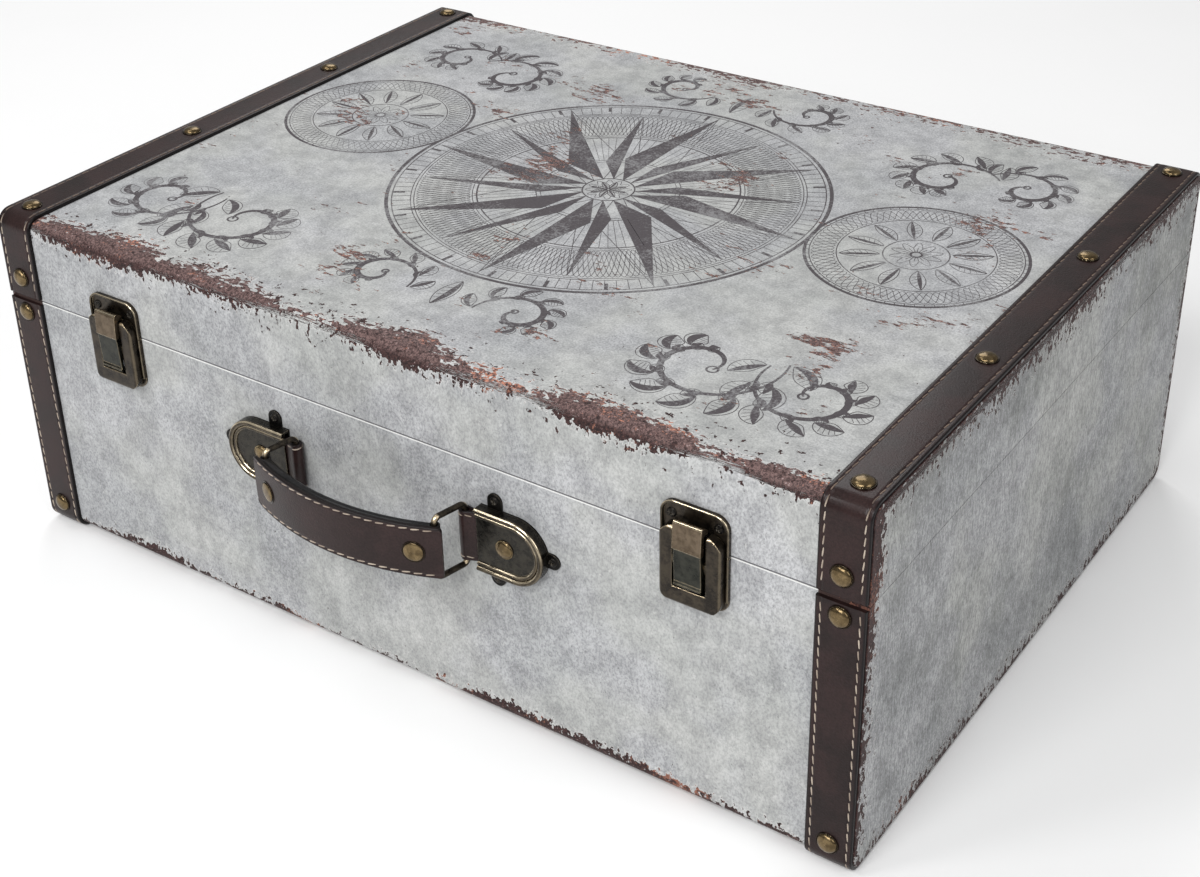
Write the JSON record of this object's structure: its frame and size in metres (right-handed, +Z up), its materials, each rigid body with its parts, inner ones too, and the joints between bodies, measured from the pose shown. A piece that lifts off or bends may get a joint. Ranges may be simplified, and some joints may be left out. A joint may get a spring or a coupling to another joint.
{
  "type": "hard suitcase",
  "caption": "Rectangular hard suitcase of covered boards with a hinged lid, leather edge straps, snap latches and a leather carry handle on swinging wire rings.",
  "frame": {"origin": "middle of the bounding box's underside, on the surface the case stands on, under its straps", "axes": "+X along the width to the viewer's right when facing the handle, +Y from the handle side to the hinges, +Z up"},
  "size_m": [0.44, 0.3614, 0.1688],
  "materials": {
    "covering": "matt printed covering, mottled grey with worn brown edges",
    "board": "bare fibreboard",
    "lining": "plain paper lining",
    "brown_leather": "smooth dark brown leather, satin",
    "black_leather": "smooth black leather, satin",
    "dark_bronze": "antique bronze plating, darkened, worn bright on its edges",
    "aged_brass": "aged brass, satin",
    "spring_steel": "plain spring steel"
  },
  "bodies": {
    "base": {"base_front_board": "board", "base_back_board": "board", "base_left_end": "board", "base_right_end": "board", "base_floor": "board", "base_covering": "covering", "base_lining": "lining", "base_left_strap": "brown_leather", "base_right_strap": "brown_leather", "base_rivets": "aged_brass", "left_latch_plate": "dark_bronze", "right_latch_plate": "dark_bronze", "latch_plate_screws": "dark_bronze", "left_cover_pin": "aged_brass", "right_cover_pin": "aged_brass", "left_mount_plate": "dark_bronze", "right_mount_plate": "dark_bronze", "left_mount_cap": "dark_bronze", "right_mount_cap": "dark_bronze", "left_mount_loop": "brown_leather", "right_mount_loop": "brown_leather", "mount_rivets": "aged_brass", "mount_screws": "dark_bronze", "left_hinge_base_leaf": "dark_bronze", "right_hinge_base_leaf": "dark_bronze", "left_hinge_pin": "aged_brass", "right_hinge_pin": "aged_brass", "hinge_base_screws": "dark_bronze"},
    "lid": {"lid_front_board": "board", "lid_back_board": "board", "lid_left_end": "board", "lid_right_end": "board", "lid_top_board": "board", "lid_covering": "covering", "lid_lining": "lining", "lid_left_strap": "brown_leather", "lid_right_strap": "brown_leather", "lid_rivets": "aged_brass", "left_keeper": "dark_bronze", "right_keeper": "dark_bronze", "keeper_screws": "dark_bronze", "left_hinge_lid_leaf": "dark_bronze", "right_hinge_lid_leaf": "dark_bronze", "hinge_lid_screws": "dark_bronze"},
    "left_latch_cover": {"left_cover": "dark_bronze", "left_tongue_pin": "aged_brass", "left_latch_spring": "spring_steel"},
    "left_latch_tongue": {"left_tongue": "dark_bronze"},
    "right_latch_cover": {"right_cover": "dark_bronze", "right_tongue_pin": "aged_brass", "right_latch_spring": "spring_steel"},
    "right_latch_tongue": {"right_tongue": "dark_bronze"},
    "left_handle_ring": {"left_ring": "dark_bronze"},
    "handle_grip": {"grip_core": "black_leather", "grip_leather": "brown_leather", "grip_rivets": "aged_brass"},
    "right_handle_ring": {"right_ring": "dark_bronze"}
  },
  "joints": [
    {"name": "lid_hinge", "type": "hinge", "parent": "base", "child": "lid", "pos_m": [0, 0.1781, 0.125], "axis": [-1, 0, 0], "range_deg": [0, 105]},
    {"name": "left_latch_hinge", "type": "hinge", "parent": "base", "child": "left_latch_cover", "pos_m": [-0.15, -0.1527, 0.1015], "axis": [1, 0, 0], "range_deg": [0, 95]},
    {"name": "left_tongue_tilt", "type": "hinge", "parent": "left_latch_cover", "child": "left_latch_tongue", "pos_m": [-0.15, -0.1532, 0.119], "axis": [1, 0, 0], "range_deg": [0, 12], "stiffness_Nm_per_rad": 0.01, "springref_deg": -11.46},
    {"name": "right_latch_hinge", "type": "hinge", "parent": "base", "child": "right_latch_cover", "pos_m": [0.15, -0.1527, 0.1015], "axis": [1, 0, 0], "range_deg": [0, 95]},
    {"name": "right_tongue_tilt", "type": "hinge", "parent": "right_latch_cover", "child": "right_latch_tongue", "pos_m": [0.15, -0.1532, 0.119], "axis": [1, 0, 0], "range_deg": [0, 12], "stiffness_Nm_per_rad": 0.01, "springref_deg": -11.46},
    {"name": "left_ring_swing", "type": "hinge", "parent": "base", "child": "left_handle_ring", "pos_m": [-0.0447, -0.15265, 0.0918], "axis": [0, 0, 1], "range_deg": [-41, 67]},
    {"name": "grip_swing", "type": "hinge", "parent": "left_handle_ring", "child": "handle_grip", "pos_m": [-0.04819, -0.16775, 0.0918], "axis": [0, 0, 1], "range_deg": [-67, 41]},
    {"name": "right_ring_swing", "type": "hinge", "parent": "handle_grip", "child": "right_handle_ring", "pos_m": [0.04121, -0.16775, 0.0918], "axis": [0, 0, 1], "range_deg": [-41, 67]}
  ],
  "couplings": [
    {"joint": "grip_swing", "follows": "left_ring_swing", "ratio": -1},
    {"joint": "right_ring_swing", "follows": "left_ring_swing", "ratio": 1}
  ]
}
